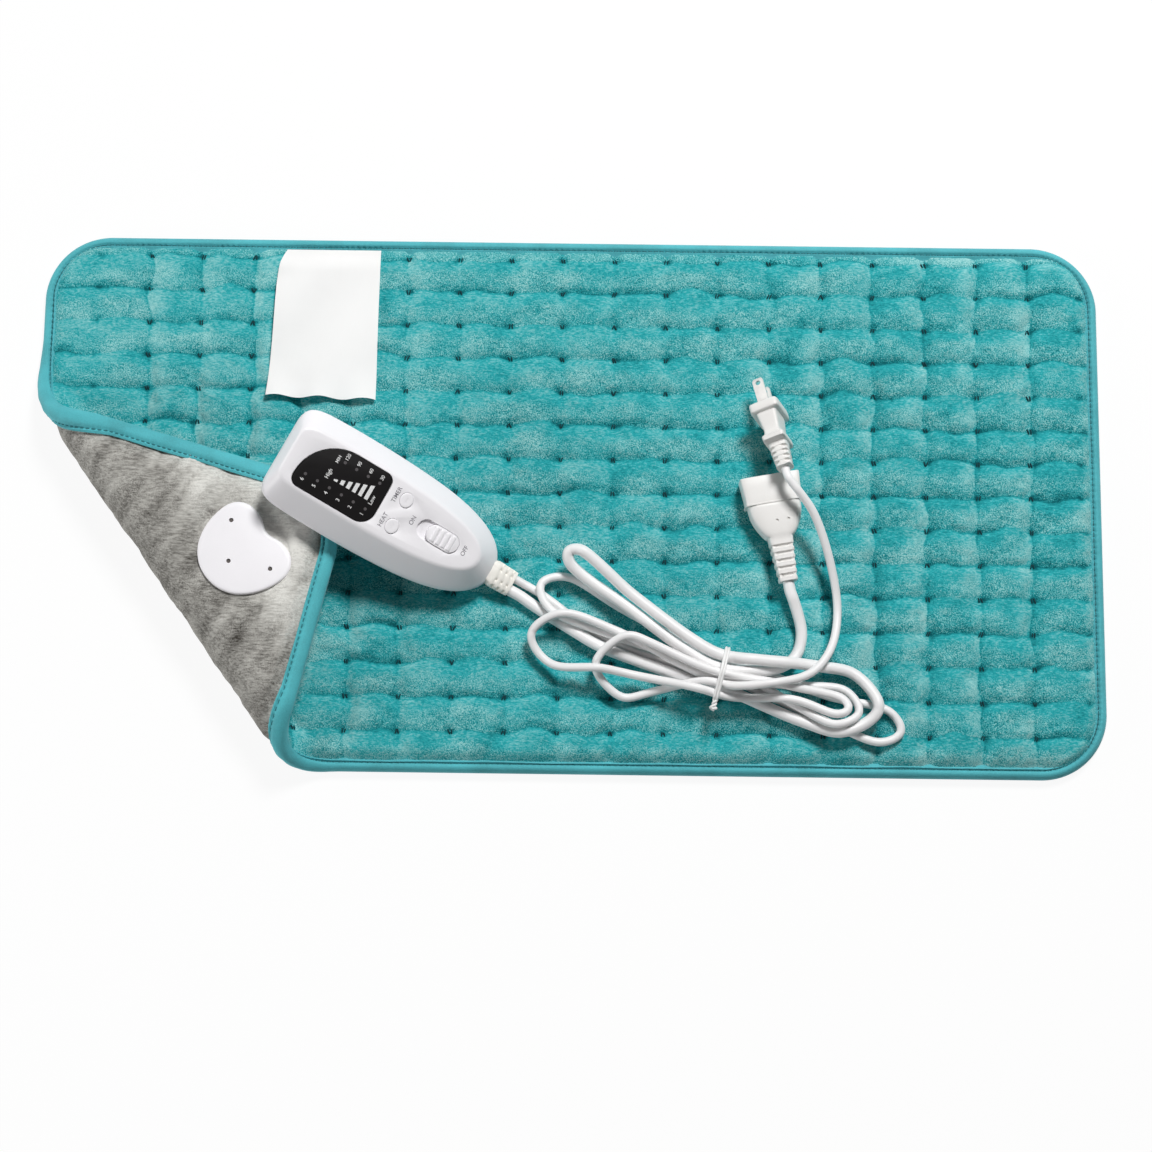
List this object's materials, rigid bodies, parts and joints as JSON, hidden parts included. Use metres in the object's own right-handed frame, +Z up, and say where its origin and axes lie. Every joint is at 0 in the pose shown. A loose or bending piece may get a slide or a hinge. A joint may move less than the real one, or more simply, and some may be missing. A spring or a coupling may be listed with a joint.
{
  "type": "heating pad with controller",
  "caption": "Quilted plush heating pad with a folded corner, a hand controller with buttons and a slide switch, a detachable connector and a tied hank of mains cord.",
  "frame": {"origin": "middle of the pad's outline on the surface that it lies on", "axes": "+X along the pad's length, +Y towards the edge with the care label, +Z up out of the front"},
  "size_m": [0.6113, 0.3106, 0.0702],
  "materials": {
    "teal_plush": "short plush nap",
    "grey_plush": "short plush nap",
    "teal_tape": "sewn tape",
    "felt": "needle felt",
    "silicone": "matt",
    "label_satin": "satin",
    "tie_wire": "satin",
    "white_plastic": "satin",
    "window": "gloss",
    "white_rubber": "satin",
    "cream_rubber": "satin",
    "white_cord": "satin",
    "bright_metal": "nickel plated",
    "brass": "plain",
    "board": "solder mask",
    "black_package": "moulded",
    "clear_light": "clear"
  },
  "bodies": {
    "pad": {"capacitor": "black_package", "care_label": "label_satin", "case_screw_1": "bright_metal", "case_screw_2": "bright_metal", "case_screw_3": "bright_metal", "circuit_board": "board", "connector_body": "white_rubber", "connector_sleeve_1": "brass", "connector_sleeve_2": "brass", "controller_bottom_shell": "white_plastic", "controller_top_shell": "white_plastic", "display_window": "window", "edge_binding": "teal_tape", "fuse": "clear_light", "hank_tie": "tie_wire", "heat_light_1": "clear_light", "heat_light_2": "clear_light", "heat_light_3": "clear_light", "heat_light_4": "clear_light", "heat_light_5": "clear_light", "heat_light_6": "clear_light", "heat_tact_switch": "black_package", "heater_felt": "felt", "heating_wire": "silicone", "mains_cord_hank": "white_cord", "mains_cord_lead": "white_cord", "mains_cord_tail": "white_cord", "mains_plug_body": "white_rubber", "microcontroller": "black_package", "pad_back_cover": "grey_plush", "pad_cord_hank": "white_cord", "pad_cord_lead": "white_cord", "pad_cord_tail": "white_cord", "pad_front_cover": "teal_plush", "plug_blade_1": "bright_metal", "plug_blade_2": "bright_metal", "power_switch": "black_package", "socket_back_plate": "white_plastic", "socket_housing": "white_plastic", "socket_pin_1": "brass", "socket_pin_2": "brass", "socket_screw_1": "bright_metal", "socket_screw_2": "bright_metal", "socket_screw_3": "bright_metal", "strain_relief": "cream_rubber", "thermal_cutout": "black_package", "timer_light_1": "clear_light", "timer_light_2": "clear_light", "timer_light_3": "clear_light", "timer_light_4": "clear_light", "timer_tact_switch": "black_package", "triac": "black_package"},
    "heat_button": {"heat_button": "white_plastic"},
    "timer_button": {"timer_button": "white_plastic"},
    "power_slider": {"power_slider": "white_plastic"}
  },
  "joints": [
    {"name": "heat_button_press", "type": "slide", "parent": "pad", "child": "heat_button", "axis": [-0.2493, 0.1326, -0.9593], "range_m": [0, 0.0008], "stiffness_N_per_m": 1500},
    {"name": "timer_button_press", "type": "slide", "parent": "pad", "child": "timer_button", "axis": [-0.2493, 0.1326, -0.9593], "range_m": [0, 0.0008], "stiffness_N_per_m": 1500},
    {"name": "power_switch_slide", "type": "slide", "parent": "pad", "child": "power_slider", "axis": [-0.847, 0.4504, 0.2823], "range_m": [0, 0.0057]}
  ]
}
